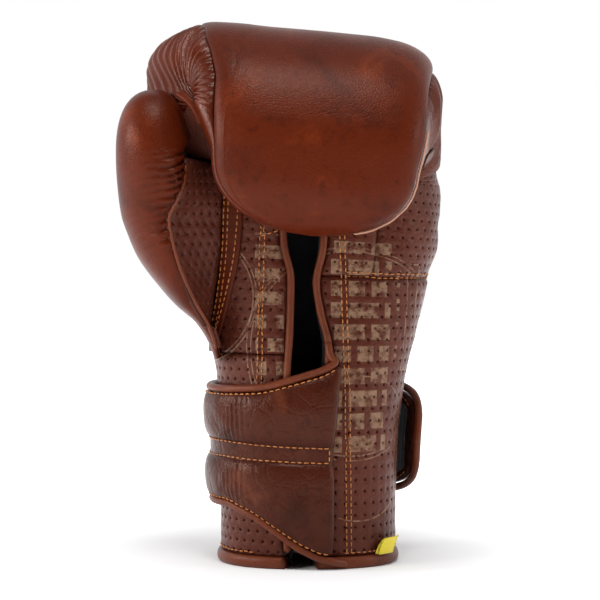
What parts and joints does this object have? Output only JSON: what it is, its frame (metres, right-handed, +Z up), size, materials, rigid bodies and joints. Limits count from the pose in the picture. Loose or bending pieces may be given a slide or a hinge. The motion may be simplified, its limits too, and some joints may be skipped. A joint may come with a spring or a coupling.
{
  "type": "boxing glove",
  "caption": "Left-hand padded leather boxing glove with perforated palm, attached thumb and wraparound wrist strap, standing on its cuff.",
  "frame": {"origin": "centre of the glove's bounding box, on the plane of the cuff hem it stands on", "axes": "+Z up from the cuff hem towards the knuckles, -Y out of the palm and finger roll, -X towards the thumb"},
  "size_m": [0.1784, 0.146, 0.3015],
  "materials": {
    "leather": "smooth oiled brown leather with soft shine",
    "perforated_leather": "thin perforated brown leather with a worn tan print",
    "strap_leather": "mottled, lightly creased brown leather",
    "piping": "rolled leather binding",
    "foam": "dark layered padding foam",
    "lining": "black woven lining",
    "hook_and_loop": "black hook-and-loop fastener",
    "label": "glossy woven yellow ribbon"
  },
  "bodies": {
    "hand": {"back_leather": "leather", "back_foam": "foam", "heel_leather": "perforated_leather", "heel_foam": "foam", "little_side_leather": "perforated_leather", "little_side_foam": "foam", "palm_heel_leather": "perforated_leather", "palm_heel_foam": "foam", "cuff_thumb_leather": "perforated_leather", "cuff_thumb_foam": "foam", "palm_thumb_leather": "perforated_leather", "palm_thumb_foam": "foam", "thumb_back_leather": "leather", "thumb_back_foam": "foam", "index_side_leather": "leather", "index_side_foam": "foam", "palm_top_leather": "perforated_leather", "grip_bar": "foam", "hand_lining": "lining", "hem_binding": "piping", "slit_binding_thumb_side": "piping", "slit_binding_heel_side": "piping", "thumb_root_band": "leather", "strap_root_leather": "strap_leather", "strap_root_foam": "foam", "strap_root_piping_top": "piping", "strap_root_piping_bottom": "piping", "loop_patch": "hook_and_loop", "thumb_lock": "leather", "label": "label"},
    "fingers": {"roll_front_leather": "leather", "roll_palm_leather": "leather", "roll_index_gusset": "leather", "roll_little_gusset": "leather", "roll_welt": "piping", "finger_foam": "foam", "finger_lining": "lining"},
    "thumb": {"thumb_outer_leather": "leather", "thumb_inner_leather": "perforated_leather", "thumb_welt": "piping", "thumb_foam": "foam", "thumb_lining": "lining"},
    "strap_wrap": {"strap_wrap_leather": "strap_leather", "strap_wrap_foam": "foam", "strap_wrap_piping_top": "piping", "strap_wrap_piping_bottom": "piping"},
    "strap_tab": {"tab_leather": "strap_leather", "tab_foam": "foam", "hook_patch": "hook_and_loop", "tab_piping": "piping"}
  },
  "joints": [
    {"name": "finger_open", "type": "hinge", "parent": "hand", "child": "fingers", "pos_m": [0.01535, 0.02154, 0.292], "axis": [-0.996, 0, 0.0896], "range_deg": [0, 25], "stiffness_Nm_per_rad": 2},
    {"name": "thumb_swing", "type": "hinge", "parent": "hand", "child": "thumb", "pos_m": [-0.03465, -0.00096, 0.114], "axis": [0, -1, 0], "range_deg": [0, 5], "stiffness_Nm_per_rad": 2},
    {"name": "strap_swing", "type": "hinge", "parent": "hand", "child": "strap_wrap", "pos_m": [-0.03125, -0.01766, 0.06], "axis": [0, 0, 1], "range_deg": [0, 70]},
    {"name": "strap_peel", "type": "hinge", "parent": "strap_wrap", "child": "strap_tab", "pos_m": [0.04935, 0.05644, 0.06], "axis": [0, 0, 1], "range_deg": [0, 90]}
  ]
}
